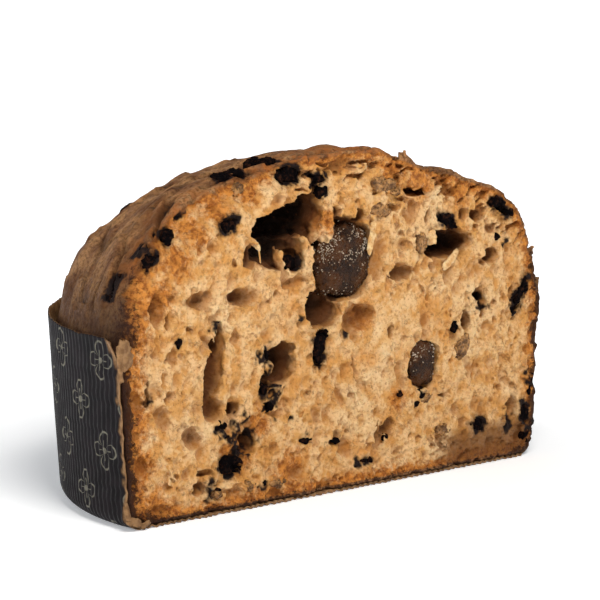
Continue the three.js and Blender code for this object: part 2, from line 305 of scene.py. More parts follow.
# Hollows: middle on the cut face (x, z), width and height there, depth behind it and, where a
# hollow has one, its lean in the face
HOLLOWS = [
    # the cavern left of the large chestnut
    (-27, 98.5, 34, 14, 26, -0.12), (-16, 103, 15, 13, 22), (-12, 108.5, 5, 8, 12, 0.15),
    (-29, 90, 24, 14, 15), (-14, 97, 7, 12, 14, 0.1), (-43, 89, 7.5, 9, 8),
    (-21.5, 86, 9, 9, 12),
    # round the chestnuts
    (2, 83.5, 31, 31, 17), (-2.5, 100.5, 7, 6, 10), (10, 98.5, 5, 7, 9),
    (42, 41, 16.5, 18.5, 11),
    # below the large chestnut
    (-9, 67, 19, 14, 13, 0.35), (-22, 78, 15, 5, 4), (9, 62, 17, 11, 5, 0.1),
    (2.5, 71.5, 8, 4, 6, 0.5),
    # the upper right
    (54.5, 84.5, 25, 11.5, 16), (62.5, 94.5, 6, 6, 7), (70.5, 93.5, 6, 6, 7, 0.6),
    (68.5, 88.5, 4, 4, 4), (76.5, 88, 6.5, 4.5, 5, 0.5), (77, 78.5, 7, 7, 8, 0.4),
    (85.5, 80, 4, 5, 3), (72.5, 76, 5, 4.5, 4), (30, 76.5, 13, 7, 5),
    (20, 87, 7, 12, 4, 0.2), (38.5, 104.6, 15, 3.4, 8, 0.1), (24, 99, 12, 4, 5, -0.2),
    (43.5, 96, 3, 7, 5, 0.5), (53.5, 104, 5, 5, 5), (30, 102.5, 6, 3, 4),
    # the right middle
    (70.5, 64.5, 6, 5, 7), (72.7, 60, 4, 10, 13, 0.1), (63.5, 54.7, 6, 7, 12),
    (25, 55, 4, 6, 7, 0.2), (69.5, 38, 5, 6, 3), (52, 28, 5, 2.5, 4, 0.3),
    (88, 19, 6, 11, 5, 0.1), (82.5, 37.5, 3, 3, 2.5), (84.5, 30.5, 3, 3, 2.5),
    (55, 72, 5, 6, 3), (61, 71, 4, 6, 3, 0.2), (67, 73, 6, 9, 3, 0.1),
    # the middle
    (-29, 50, 14, 15, 15, 0.1), (-34, 45.5, 8, 12, 11, 0.5), (-25, 54.5, 6, 5, 7),
    (-37, 45, 5, 6, 8), (-33, 39.5, 5, 3.5, 4),
    (-35, 34.5, 3, 6, 4), (-31.5, 32.7, 7, 3.5, 3.5), (-3, 43.5, 6, 5, 2),
    (-10.5, 53, 7, 15, 6, 0.1), (-17, 19.8, 6.5, 1.6, 3), (-4, 18.3, 6, 2.6, 3),
    (5, 26.5, 3, 3, 2), (7.2, 43, 2, 14, 3, -0.25),
    # the left
    (-58.5, 60, 6, 15, 9, 0.1), (-60.5, 51, 8, 22, 9, 0.15), (-62.5, 44, 8, 17, 9, 0.05),
    (-60, 36.5, 10, 9, 7, -0.5), (-52, 36, 6, 6.5, 13, 0.3),
    (-47, 75, 14, 8, 6), (-66, 76.5, 12, 8, 5), (-86.5, 75, 8, 12, 6),
    (-81.5, 70.5, 3.2, 6.5, 7, 0.3), (-72, 67, 4, 2.4, 3.5), (-81.5, 58, 3, 4.5, 4),
    (-87.5, 60, 3.5, 6.5, 3), (-90.7, 46, 2.4, 12, 7, 0.05), (-93.5, 55, 2.4, 11, 3, 0.1),
    (-80, 44.5, 4.5, 3.5, 3), (-71, 28.5, 11, 8, 5, 0.2), (-84.5, 30, 3, 4.5, 2),
    (-45, 23.5, 10, 8, 9, 0.6), (-65, 15.5, 7, 3.5, 5, 0.2), (-67.5, 10, 8, 6, 6),
    (-75, 45, 3, 3, 2), (-76, 57, 4, 3, 2, 0.4),
]

# Bread left standing in or across the hollows: the same numbers, then how far back its middle is
STANDING = [(-28, 86.5, 2.4, 10, 7, -0.2, 4), (-35, 49, 2.4, 6, 5, 0.2, 2),
            (-6.5, 98.5, 4, 16, 8, 0.1, 3), (-15, 85, 3.0, 14, 8, 0.15, 3),
            (31.0, 117.6, 2.6, 6.5, 3, -0.3, 1.5), (34.2, 115.6, 11, 3.6, 5, 0.66, 1.5),
            (37.5, 109.5, 14, 7.2, 8, 0.15, 1.0), (43.5, 106, 5, 8, 5, -0.3, 1.2),
            (99, 78, 2.2, 3.5, 4, 0.0, 3)]

# Smooth, closed crumb: middle (x, z) and reach across and up
SILKY = [(28, 62, 20, 12), (20, 55, 12, 9)]

# Cups over the whole face: spacing across and up, depth, share of open ones
CUPS = [(1.3, 1.9, 1.1, 0.45), (2.6, 3.9, 1.9, 0.4), (6.0, 8.5, 2.4, 0.25)]
# Pores with their own walls: smallest and largest radius, how many, how far out they may lie
PORES = [(0.7, 1.3, 2200, 0.2), (1.4, 2.5, 260, 0.6), (2.5, 3.5, 26, 0.7)]
# Slits along the crust: how many, from which x to which, how far under it and how long
SPLITS = {"count": 100, "from": -20, "to": 94, "under": (2.6, 11.0), "length": (2.5, 9.0)}
# Smears of chocolate on the bread: middle and reach
SMEARS = [(-36, 1, 52, 5), (-37, 1, 41, 4), (-34, 1, 35, 3.5), (-47, 1, 24, 7), (-50, 1, 30, 4),
          (-62, 1, 9, 4), (-58, 0, 29, 3.5), (-60, 0, 66, 3), (71, 1, 61, 4), (86, 0, 14, 5),
          (-91, 0, 45, 2.6), (-96, 3, 88, 3), (-90, 5, 96, 3.5), (96, 1, 30, 3.5), (99, 1, 12, 4),
          (-70, 8, 106, 3), (8, 1, 9, 2), (-38, 1, 8, 2.5), (84, 1, 82, 2.5), (2, 1, 57, 2),
          (-20, 1, 64, 2), (41, 1, 30, 3.5), (-34, 1, 47, 6), (-33, 1, 40, 4), (-52, 1, 26, 5),
          (-47, 1, 31, 4)]
# Browner crumb: middle and reach
TOASTED = [(37.5, 1, 109.5, 9), (34, 1, 115, 6), (-6.5, 2, 98, 6), (25, 2, 113, 8), (60, 1, 104, 7),
           (-50, 2, 21, 9), (-25, 1, 11, 9), (28, 1, 30, 5), (11, 3, 62, 6), (-40, 2, 30, 6),
           (-95, 1, 22, 8), (-89, 1, 8, 8), (-97, 1, 52, 5), (-68, 4, 99, 6.5), (-56, 4, 106, 6),
           (-77, 4, 90, 7.5), (-86, 3, 79, 8), (-42, 3, 111, 6)]
# How far the bread reaches over the edge of the pieces that it holds, and those left free of it
POCKET_OVERLAP = 0.6
WHOLE = ("chestnut_large", "chestnut_small")
# Noise that bends the hollows, and noise that roughens the bread: span and size
WARP = ((6.0, 1.0), (2.2, 0.6), (1.1, 0.32))
ROUGH = ((3.2, 0.34), (1.5, 0.32), (0.8, 0.2))


def flatness(z):
    """How far pores lie flat, as they do under the crust and on the floor."""
    return np.maximum(smooth(z, 95, 108), 1 - smooth(z, 8, 18))


def silk(x, z):
    """Where the crumb is smooth and closed."""
    return np.max([hump(np.hypot((x - a) / p, (z - b) / q), 1.3) for a, b, p, q in SILKY], axis=0)


def inclusion_names():
    return sorted(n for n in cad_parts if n.startswith(("chocolate", "chestnut")))


class Face:
    """How deep the cut surface lies behind the knife's plane."""

    # How far round a piece of chocolate the bread still holds on to it, and how deep the piece sits
    HELD_REACH = 6.0
    HELD_SHARE = 0.4

    def __init__(self):
        self.waves = Noise(31)
        self.crumbs = Noise(32)
        self.held = []
        for name in inclusion_names():
            low, high = (unplace([corner])[0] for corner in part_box(name))
            if name.startswith("chocolate") and low[1] < FINE_DEPTH:
                reach = max(high[0] - low[0], high[2] - low[2]) / 2 + self.HELD_REACH
                sunk = low[1] + self.HELD_SHARE * (high[1] - low[1])
                self.held.append(((low[0] + high[0]) / 2, (low[2] + high[2]) / 2, reach, sunk))

    def depth(self, x, z):
        """Without pores, at arrays of x and z of one shape."""
        waves = self.waves.over(x, 0, z, 9)
        crumbs = self.crumbs.over(x, 0, z, (4.5, 1, 2.2))
        b = BROKEN_EDGE
        enter = smooth(x, b["from"], b["from"] + b["fade"])
        leave = 1 - smooth(x, b["to"] - b["fade"], b["to"])
        under = np.maximum(dome_height(x) - z, 0)
        broken = enter * leave * hump(under, b["width"] * (1 + 0.5 * waves))
        deep = 0.45 + 0.45 * waves + broken * b["depth"] * (1 + 0.45 * crumbs)
        for middle_x, middle_z, reach, sunk in self.held:
            grip = hump(np.hypot(x - middle_x, z - middle_z), reach)
            deep = deep - grip * np.maximum(deep - sunk, 0)
        return deep


FACE = Face()


def level_set(name, step, band):
    """A CAD node's shape as signed distance in mm on a grid, with the grid's origin."""
    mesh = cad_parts[name].data
    points = np.zeros(len(mesh.vertices) * 3, np.float32)
    mesh.vertices.foreach_get("co", points)
    mesh.calc_loop_triangles()
    corners = np.zeros(len(mesh.loop_triangles) * 3, np.int32)
    mesh.loop_triangles.foreach_get("vertices", corners)
    spots = unplace(points.reshape(-1, 3)).astype(np.float32)
    grid = openvdb.FloatGrid.createLevelSetFromPolygons(
        spots, triangles=corners.reshape(-1, 3).astype(np.uint32),
        transform=openvdb.createLinearTransform(voxelSize=step), halfWidth=band,
    )
    first = np.floor(spots.min(0) / step).astype(int) - band
    count = np.ceil(spots.max(0) / step).astype(int) + band - first
    values = np.zeros(count, np.float32)
    grid.copyToArray(values, ijk=[int(v) for v in first])
    return values, first * step


def distance_to(name, points):
    """Distance in mm of scattered points to a CAD node, as far as its grid reaches."""
    values, origin = level_set(name, GRID_STEP, GRID_BAND)
    where = np.round((points - origin) / GRID_STEP).astype(int)
    near = ((where >= 0) & (where < values.shape)).all(1)
    out = np.full(len(points), GRID_STEP * GRID_BAND)
    out[near] = values[tuple(where[near].T)]
    return out


class Bread:
    """The loaf as a field on a grid, negative in the bread, and the mesh of its surface."""

    def __init__(self):
        margin = 2 * CELL
        self.x = np.arange(-CASE_RADIUS - margin, CASE_RADIUS + margin, CELL)
        self.z = np.arange(LINING - margin, DOME[-1][1] + 8, CELL)
        depths = [-3 * CELL]
        while depths[-1] < CASE_RADIUS + 3:
            wider = 2.6 * smooth(depths[-1], FINE_DEPTH, 5 * FINE_DEPTH)
            depths.append(depths[-1] + CELL * (1 + wider))
        self.y = np.array(depths)
        self.axes = (self.x, self.y, self.z)
        self.X, self.Y, self.Z = (a.astype(np.float32) for a in crossed(self.axes))
        self.shape = (len(self.x), len(self.y), len(self.z))

    def folds(self, x, y):
        """Height of the folds and depth of the cracks beside them, at places on the dome."""
        rng = np.random.default_rng(27)
        loose = []
        for _ in range(LOOSE_FOLDS["count"]):
            angle, radius = rng.uniform(0.1, math.pi), CASE_RADIUS * math.sqrt(rng.uniform(0.02, 0.9))
            heading = angle + math.pi / 2 + rng.normal(0, 0.5)
            half = rng.uniform(*LOOSE_FOLDS["length"]) / 2
            a, b = radius * math.cos(angle), radius * math.sin(angle)
            du, dv = half * math.cos(heading), half * math.sin(heading)
            loose.append(((a - du, b - dv), (a + du, b + dv), rng.uniform(*LOOSE_FOLDS["rise"]),
                          rng.uniform(*LOOSE_FOLDS["width"])))
        bent_x = x + 2.2 * Noise(18).over(x, y, 0, 7)
        bent_y = y + 2.2 * Noise(19).over(x, y, 0, 7)
        rise, crack = np.zeros(x.shape), np.zeros(x.shape)
        for start, end, height, width in FOLDS + loose:
            along = np.subtract(end, start)
            t = ((bent_x - start[0]) * along[0] + (bent_y - start[1]) * along[1]) / (along @ along)
            held = np.clip(t, 0, 1)
            aside_x = bent_x - start[0] - held * along[0]
            aside_y = bent_y - start[1] - held * along[1]
            away = np.hypot(aside_x, aside_y)
            near_side = aside_y < 0
            rise = np.maximum(rise, height * hump(away, np.where(near_side, 0.45, 1.3) * width))
            middle = 4 * held * (1 - held)
            deep = min(height / 1.5, 1)
            crack = np.maximum(crack, deep * middle * hump(np.abs(away - 0.45 * width), 1.0) * near_side)
        return rise, crack

    def wrinkles(self):
        """Soft wrinkles and thin cracks that run up the dome, by X and Y."""
        x, y = np.meshgrid(self.x, self.y, indexing="ij")
        radius = np.hypot(x, y)
        spot = (np.arctan2(y, x) * 75, radius, dome_height(radius))
        soft = 0.75 * Noise(14).over(*spot, (6.0, 24, 24)) + 0.3 * Noise(15).over(*spot, (2.6, 9, 9))
        crack = np.abs(Noise(16).over(*spot, (9.0, 30, 30)))
        patch = smooth(Noise(17).over(*spot, 22), -0.1, 0.3) * smooth(radius, 14, 46)
        soft = soft * smooth(radius, 10, 42)
        rise, split = self.folds(x, y)
        # How deep a point lies in a crack or a fold's crack; the crust's colour darkens there as painted
        # shade
        self.crease = np.maximum(patch * hump(crack, 0.16), split)
        relief = soft - 1.6 * patch * hump(crack, 0.1) + rise - 1.5 * split
        return relief[:, :, None].astype(np.float32)

    def crust(self):
        """Signed distance to the crust with its swells, blisters and fine grain."""
        radius = np.broadcast_to(np.hypot(self.X, self.Y), self.shape)
        far = outline_distance(radius, np.broadcast_to(self.Z, self.shape))
        free = smooth(self.Z, TUCK_HEIGHT + 4, SHOULDER[1] + 14)
        relief = 1.2 * Noise(11).on(self.axes, 24)
        relief += 0.55 * Noise(12).on(self.axes, 10)
        relief += self.wrinkles() + 0.12 * Noise(13).on(self.axes, 1.6)
        for x, y, reach, rise in BLISTERS:
            relief = relief + rise * hump(np.hypot(self.X - x, self.Y - y), reach)
        return far - relief * free

    def cups(self):
        """Depth of the small cups that the knife opened, by X and Z."""
        x, z = np.meshgrid(self.x, self.z, indexing="ij")
        flat = flatness(z)
        total = np.zeros(x.shape)
        for k, (across, up, deep, share) in enumerate(CUPS):
            bend = 0.3 * across
            bent_x = x + bend * Noise(50 + k).over(x, 3.0, z, across)
            bent_z = z + bend * Noise(60 + k).over(x, 3.0, z, across)
            tall = Cells(70 + k).depth(bent_x, bent_z, (across, up), share)
            wide = Cells(80 + k).depth(bent_x, bent_z, (up, across), share)
            total = np.maximum(total, deep * (tall + (wide - tall) * flat))
        return (total * (1 - 0.85 * silk(x, z)))[:, None, :].astype(np.float32)

    def block(self, low, high):
        """The part of the grid between two corners, at least one crossing wide."""
        ends = [np.searchsorted(*pair) for pair in zip(self.axes, zip(low, high))]
        return tuple(slice(first, max(last, first + 1)) for first, last in ends)

    def hollow(self, middle, radii, lean=0.0):
        """Adds an ellipsoid to the air."""
        reach = max(radii) + 2.5
        block = self.block(np.subtract(middle, reach), np.add(middle, reach))
        away = [bent[block] - centre for bent, centre in zip(self.bent, middle)]
        self.air[block] = np.minimum(self.air[block], ellipsoid_distance(*away, radii, lean))

    def pores(self):
        """Seeded pores over the whole cut, longer than wide, fewer where the crumb is silky."""
        rng = np.random.default_rng(7)
        for small, large, count, out in PORES:
            x = rng.uniform(-CASE_RADIUS, CASE_RADIUS, count)
            z = rng.uniform(2, DOME[-1][1], count)
            size = rng.uniform(small, large, count)
            longer = rng.uniform(0, 1, count)
            lean = rng.normal(0, 0.35, count)
            deep = rng.uniform(-out, 0.35, count)
            keep = rng.uniform(0, 1, count) > 1.3 * silk(x, z)
            keep &= -outline_distance(np.abs(x), z) > size + 1.0
            wide = size * (1 + longer * flatness(z))
            tall = size * (1 + longer * (1 - flatness(z)))
            for i in np.flatnonzero(keep):
                middle = (x[i], deep[i] * size[i] + 0.4, z[i])
                self.hollow(middle, (wide[i], size[i], tall[i]), lean[i])

    def splits(self):
        """Slits that lie along the crust, just under it."""
        rng = np.random.default_rng(17)
        for _ in range(SPLITS["count"]):
            x = rng.uniform(SPLITS["from"], SPLITS["to"])
            under = rng.uniform(*SPLITS["under"])
            length = rng.uniform(*SPLITS["length"])
            slope = math.atan((dome_height(x + 2) - dome_height(x - 2)) / 4)
            tall = rng.uniform(0.45, 1.1)
            z = dome_height(x) - under
            back = FACE.depth(np.array([x]), np.array([z]))[0]
            self.hollow((x, back, z), (length / 2, 3.2, tall), -slope)

    def pockets(self):
        """Room round each chestnut and piece of chocolate, open to the knife where it was cut."""
        for name in inclusion_names():
            values, origin = level_set(name, GRID_STEP, GRID_BAND)
            block = self.block(origin, origin + GRID_STEP * (np.array(values.shape) - 1))
            scaled = [(a[b] - o) / GRID_STEP for a, b, o in zip(self.axes, block, origin)]
            near = read_between(values, scaled) + (0 if name in WHOLE else POCKET_OVERLAP)
            if origin[1] < 0:
                near = np.minimum.accumulate(near[:, ::-1], axis=1)[:, ::-1]
            self.air[block] = np.minimum(self.air[block], near)

    def build(self):
        """The mesh's points in mm and its four-sided faces, and at each point how far inside
        the crust it lies and how deep in one of the crust's creases."""
        self.bent = [
            (coordinate + sum(size * Noise(20 + 5 * k + i).on(self.axes, span)
                              for i, (span, size) in enumerate(WARP))).astype(np.float32)
            for k, coordinate in enumerate((self.X, self.Y, self.Z))
        ]
        rough = sum(size * Noise(40 + i).on(self.axes, span) for i, (span, size) in enumerate(ROUGH))
        flat_x, flat_z = np.meshgrid(self.x, self.z, indexing="ij")
        cut = FACE.depth(flat_x, flat_z)[:, None, :].astype(np.float32)
        shell = self.crust()
        face = cut + self.cups() - self.Y + rough
        self.air = np.full(self.shape, 50, np.float32)
        for x, z, width, height, depth, *lean in HOLLOWS:
            self.hollow((x, 0, z), (width / 2, depth, height / 2), *(-turn for turn in lean))
        self.pores()
        self.splits()
        self.pockets()
        field = np.maximum(np.maximum(shell, face), -(self.air + 0.6 * rough))
        self.air[:] = 50
        for x, z, width, height, depth, lean, back in STANDING:
            self.hollow((x, back, z), (width / 2, depth / 2, height / 2), -lean)
        field = np.minimum(field, np.maximum(self.air + rough, -self.Y - 0.7))
        field = np.maximum(field, outline_distance(np.hypot(self.X, self.Y), self.Z) - 4.0)

        def to_mm(where):
            return np.stack([np.interp(where[:, k], np.arange(len(a)), a)
                             for k, a in enumerate(self.axes)], 1)

        points, faces = mesh_of(field, to_mm)
        nearest = [np.rint(np.interp(points[:, k], a, np.arange(len(a)))).astype(int)
                   for k, a in enumerate(self.axes)]
        return points, faces, -shell[tuple(nearest)], self.crease[nearest[0], nearest[1]]


def mesh_of(field, to_mm):
    """Points in mm and four-sided faces of the surface where a field is zero, the largest body."""
    grid = openvdb.FloatGrid(3.0)
    grid.copyFromArray(np.clip(field, -3, 3).astype(np.float32))
    points, faces = grid.convertToQuads(0.0)
    points, faces = largest_body(to_mm(points), faces)
    return points, faces if enclosed_volume(points, faces) > 0 else faces[:, ::-1]


def largest_body(points, faces):
    """Only the faces that hang together with the most others, and the points they use."""
    label = np.arange(len(points))
    while True:
        lowest = label[faces].min(1)
        new = label.copy()
        for corner in range(faces.shape[1]):
            np.minimum.at(new, faces[:, corner], lowest)
        new = new[new]
        if (new == label).all():
            break
        label = new
    kept = faces[label[faces[:, 0]] == np.bincount(label[faces[:, 0]]).argmax()]
    used, index = np.unique(kept, return_inverse=True)
    return points[used], index.reshape(kept.shape)


def enclosed_volume(points, faces):
    """Signed volume of a closed mesh of four-sided faces."""
    a, b, c, d = (points[faces[:, k]] for k in range(4))
    return ((np.cross(a, b) * c).sum() + (np.cross(a, c) * d).sum()) / 6


def mesh_object(name, points, faces, attributes=None):
    """A smooth-shaded mesh object from points in mm and faces of one size."""
    mesh = bpy.data.meshes.new(name)
    count, sides = faces.shape
    mesh.vertices.add(len(points))
    mesh.vertices.foreach_set("co", place(points).astype(np.float32).ravel())
    mesh.loops.add(count * sides)
    mesh.loops.foreach_set("vertex_index", faces.astype(np.int32).ravel())
    mesh.polygons.add(count)
    mesh.polygons.foreach_set("loop_start", np.arange(0, count * sides, sides, dtype=np.int32))
    mesh.polygons.foreach_set("use_smooth", np.ones(count, bool))
    for key, values in (attributes or {}).items():
        layer = mesh.attributes.new(key, "FLOAT", "POINT")
        layer.data.foreach_set("value", np.asarray(values, np.float32))
    mesh.update(calc_edges=True)
    mesh.validate()
    made = bpy.data.objects.new(name, mesh)
    bpy.context.scene.collection.objects.link(made)
    return made


def piece(obj, slot, material, *nodes):
    """Dresses a mesh, hangs it under the root body and hides the CAD nodes that it stands for."""
    obj.data.materials.append(material)
    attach(obj, "root")
    if nodes:
        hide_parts(*nodes)
    return obj


# How far browning reaches in from the crust, and how strong and wide it is in the browner spots
TOAST_REACH = {"top": 6.8, "left": 15.0, "right": 8.0, "floor": 6.5}
TOAST_SPOT = {"strength": 0.8, "spread": 1.5}
# How far chocolate marks the bread, darkly and as a brown halo
STAIN_REACH = 2.8
HALO_REACH = 6.5
FAR_FROM_CHOCOLATE = 9.0


def toasting(points, inside, drift):
    """How browned the bread is, from its distance to the crust and from the browner spots."""
    x, y, z = points.T
    reach = TOAST_REACH["floor"] + (TOAST_REACH["top"] - TOAST_REACH["floor"]) * smooth(z, 30, 80)
    for side, outwards in (("left", -x), ("right", x)):
        reach += (TOAST_REACH[side] - reach) * smooth(outwards, 70, 95)
    toast = 1 - np.clip(inside / (reach * (1 + 0.45 * drift)), 0, 1)
    for *middle, reach in TOASTED:
        away = np.linalg.norm((points - middle) * (1, 0.5, 1), axis=1)
        spot = TOAST_SPOT["strength"] * hump(away, TOAST_SPOT["spread"] * reach)
        toast = np.maximum(toast, spot)
    return toast


def staining(points):
    """How strongly chocolate stains the bread, and the brown halo round the stains."""
    near = np.full(len(points), FAR_FROM_CHOCOLATE)
    for name in inclusion_names():
        if name.startswith("chocolate"):
            near = np.minimum(near, distance_to(name, points))
    smear = hump(near, STAIN_REACH)
    small = [(x, 0.5, z, 0.35 * max(wide, tall) + 0.4) for x, z, wide, tall, *lean in SPECKS]
    for *middle, reach in SMEARS + small:
        away = np.linalg.norm((points - middle) * (1, 0.25, 1), axis=1)
        smear = np.maximum(smear, hump(away, 2.2 * reach))
    blotch = 0.5 * Noise(92).at(points, 2.2) + 0.25 * Noise(93).at(points, 0.9)
    halo = hump(near, HALO_REACH) + 0.5 * smear + blotch
    return smooth(smear + blotch, 0.55, 1.0), smooth(halo, 0.5, 1.4)


def dark_rind(points, inside, drift):
    """How dark the outermost bread is in the cut: low down, on the left and on the broken edge."""
    x, y, z = points.T
    low_down = 1 - smooth(z, 62, 84)
    sides = smooth(np.abs(x), 78, 97)
    broken = smooth(x, -98, -86) * (1 - smooth(x, -34, -18)) * smooth(z, 78, 88)
    share = np.maximum(0.15 + 0.85 * low_down, 0.3 * broken)
    share = np.maximum(share, 0.75 * smooth(-x, 72, 92))
    share = share * (1 - 0.45 * hump(z, 12) * (1 - sides))
    reach = 3.2 + 1.6 * drift + np.where(x < 0, 4.6, 1.8) * sides
    return hump(inside, reach) * hump(y, 13) * share


def make_bread():
    points, faces, inside, crease = Bread().build()
    x, y, z = points.T
    on_cut = smooth(inside, 0.6, 2.0)
    drift = Noise(91).at(points, (14, 14, 9))
    stain, halo = staining(points)
    bread = mesh_object("bread", points, faces, {
        "inside": inside, "crease": crease, "stain": stain, "halo": halo,
        # How deep a point lies behind the cut face; the crumb darkens with it as painted shade in the
        # hollows
        "pit": np.maximum(y - FACE.depth(x, z), 0) * on_cut,
        "toast": toasting(points, inside, drift),
        "moist": smooth(x + 7 * drift, 42, 60) * (1 - smooth(z + 5 * drift, 10, 17)) * on_cut,
        "rind": dark_rind(points, inside, drift),
        # Painted shade: the crust darker towards the lower left of the dome
        "shade": (1 - smooth(z, 66, 106)) * hump(np.hypot((x + 90) / 50, y / 60), 1.7),
        "warm": hump(y + 4 * drift, 26) * smooth(z, 76, 94) * (1 - smooth(x, 5, 40)),
    })
    return piece(bread, "crumb", bread_material(), "loaf")


# Materials

class Shader:
    """A node material being put together, with short names for the nodes it needs."""

    def __init__(self, name):
        self.material = bpy.data.materials.new(name)
        self.material.use_nodes = True
        self.nodes = self.material.node_tree.nodes
        self.links = self.material.node_tree.links
        self.surface = self.nodes["Principled BSDF"]
        self.place = self.nodes.new("ShaderNodeTexCoord").outputs["Object"]

    def link(self, value, socket):
        if isinstance(value, str):
            value = colour(value)
        if isinstance(value, bpy.types.NodeSocket):
            self.links.new(value, socket)
        else:
            socket.default_value = value

    def set(self, **values):
        for key, value in values.items():
            self.link(value, self.surface.inputs[key.replace("_", " ")])

    def noise(self, span, detail=3.0, rough=0.55):
        """Noise from 0 to 1 whose lumps are about span mm across."""
        node = self.nodes.new("ShaderNodeTexNoise")
        node.inputs["Scale"].default_value = 1 / (span * MM)
        node.inputs["Detail"].default_value = detail
        node.inputs["Roughness"].default_value = rough
        self.links.new(self.place, node.inputs["Vector"])
        return node.outputs["Fac"]

    def mottle(self, below, above, span, detail, low, high, to_low=0.0, to_high=1.0, rough=0.55):
        """Two colours in patches: above shows where noise passes from low to high."""
        amount = self.spread(self.noise(span, detail, rough), low, high, to_low, to_high)
        return self.mix(amount, below, above)

    def gloss(self, span, detail, low, high):
        """Roughness that wanders between low and high."""
        return self.spread(self.noise(span, detail), 0.3, 0.7, low, high)

    def over(self, below, *layers):
        """A colour under layers of others, each given as its amount and its colour."""
        for amount, tone in layers:
            below = self.mix(amount, below, tone)
        return below

    def attribute(self, name, times=1.0):
        node = self.nodes.new("ShaderNodeAttribute")
        node.attribute_name = name
        return self.math("MULTIPLY", node.outputs["Fac"], times)

    def math(self, kind, a, b=0.0):
        node = self.nodes.new("ShaderNodeMath")
        node.operation = kind
        self.link(a, node.inputs[0])
        self.link(b, node.inputs[1])
        return node.outputs[0]

    def spread(self, value, low, high, to_low=0.0, to_high=1.0):
        """value from low..high to to_low..to_high, smooth and clamped."""
        node = self.nodes.new("ShaderNodeMapRange")
        node.interpolation_type = "SMOOTHSTEP"
        for socket, number in zip(node.inputs[1:5], (low, high, to_low, to_high)):
            socket.default_value = number
        self.link(value, node.inputs[0])
        return node.outputs[0]

    def mix(self, amount, a, b):
        node = self.nodes.new("ShaderNodeMix")
        node.data_type = "RGBA"
        node.clamp_factor = True
        self.link(amount, node.inputs["Factor"])
        self.link(a, node.inputs[6])
        self.link(b, node.inputs[7])
        return node.outputs[2]

    def finish(self, height, distance, through=None, **values):
        """The finished material, with a bump of that height, distance mm deep, with the values
        and, if light goes through it, with the weight, the radii and the scale of that."""
        if through:
            keys = ("Subsurface_Weight", "Subsurface_Radius", "Subsurface_Scale")
            values.update(zip(keys, through))
        node = self.nodes.new("ShaderNodeBump")
        node.inputs["Strength"].default_value = 1.0
        node.inputs["Distance"].default_value = distance * MM
        self.links.new(height, node.inputs["Height"])
        self.set(Normal=node.outputs["Normal"], **values)
        return self.material


def colour(text):
    """A colour written as in a paint program, as the linear value that a shader wants."""
    parts = [int(text[i:i + 2], 16) / 255 for i in (1, 3, 5)]
    linear = [c / 12.92 if c <= 0.04045 else ((c + 0.055) / 1.055) ** 2.4 for c in parts]
    return (*linear, 1.0)


def bread_material():
    s = Shader("bread")
    pit, toast = s.attribute("pit"), s.attribute("toast")
    crumb = s.mottle("#e2b984", "#cf9856", 4.5, 4, 0.38, 0.62)
    crumb = s.mottle(crumb, "#cf8f45", 14.0, 3, 0.5, 0.7, 0, 0.75)
    crumb = s.mottle(crumb, "#ecd0a2", 22.0, 3, 0.52, 0.68, 0, 0.5)
    crumb = s.mottle(crumb, "#a8713a", 1.1, 3, 0.5, 0.66, 0, 0.5)
    baked = s.mottle("#cb843a", "#8f5120", 2.2, 4, 0.4, 0.62, rough=0.7)
    baked = s.mix(s.spread(toast, 0.68, 1.0, 0, 0.8), baked, "#5f3414")
    browning = s.math("ADD", toast, s.spread(s.noise(3.0, 5, 0.7), 0.3, 0.7, -0.28, 0.28))
    # Painted shade in the tiny pores: dark dots where the bump below is dented in
    specks = s.math("MULTIPLY", s.spread(s.noise(1.7, 3, 0.5), 0.59, 0.72),
                    s.spread(s.noise(7.0, 2), 0.38, 0.6, 0.25, 0.95))
    crust = s.mottle("#80583a", "#ab7e52", 9.0, 5, 0.38, 0.62)
    crust = s.mottle(crust, "#5a3519", 24.0, 4, 0.48, 0.66, 0.0, 0.75)
    crust = s.mottle(crust, "#4a2b17", 1.3, 5, 0.44, 0.62, 0.0, 0.7, rough=0.7)
    warm = s.math("MULTIPLY", s.attribute("warm", 0.9), s.spread(s.noise(5.0, 4), 0.35, 0.6))
    # Painted shade: the crust darker brown in its cracks and creases
    crust = s.over(crust, (warm, "#a3602a"), (s.attribute("crease", 0.75), "#38200f"),
                   # Painted shade: the crust darker towards the lower left of the dome
                   (s.attribute("shade", 0.9), "#2c170b"))
    burnt = s.math("ADD", s.attribute("rind"), s.spread(s.noise(2.4, 5, 0.75), 0.3, 0.7, -0.5, 0.5))
    tone = s.over(
        crumb,
        (s.spread(browning, 0.05, 0.7), baked),
        # Painted shade: the crumb darker the deeper it lies in a hollow, near black in the deepest; the
        # first brown step is partly the hollow walls' own browner colour
        (s.spread(pit, 0.8, 2.6, 0, 0.6), "#965a25"),
        (s.spread(pit, 2.0, 6.0, 0, 0.88), "#4c240c"),
        (s.spread(pit, 6.0, 13.0, 0, 0.95), "#110702"),
        # Painted shade in the tiny pores
        (s.math("MULTIPLY", specks, 0.4), "#7d4c20"),
        (s.attribute("moist", 0.85), "#6f4320"),
        (s.spread(s.attribute("inside"), 0.5, 1.6, 1.0, 0.0), crust),
        (s.spread(burnt, 0.25, 0.75, 0, 0.9), "#2c160b"),
        (s.attribute("halo", 0.5), "#5d3712"),
        (s.attribute("stain"), "#1a0e0a"),
    )
    grain = s.math("SUBTRACT", s.noise(0.9, 5, 0.7), s.math("MULTIPLY", specks, 0.5))
    return s.finish(grain, 0.9, (0.1, (1.0, 0.5, 0.2), 0.0015), Base_Color=tone,
                    Roughness=s.gloss(2.0, 3, 0.6, 0.85), Specular_IOR_Level=0.14)


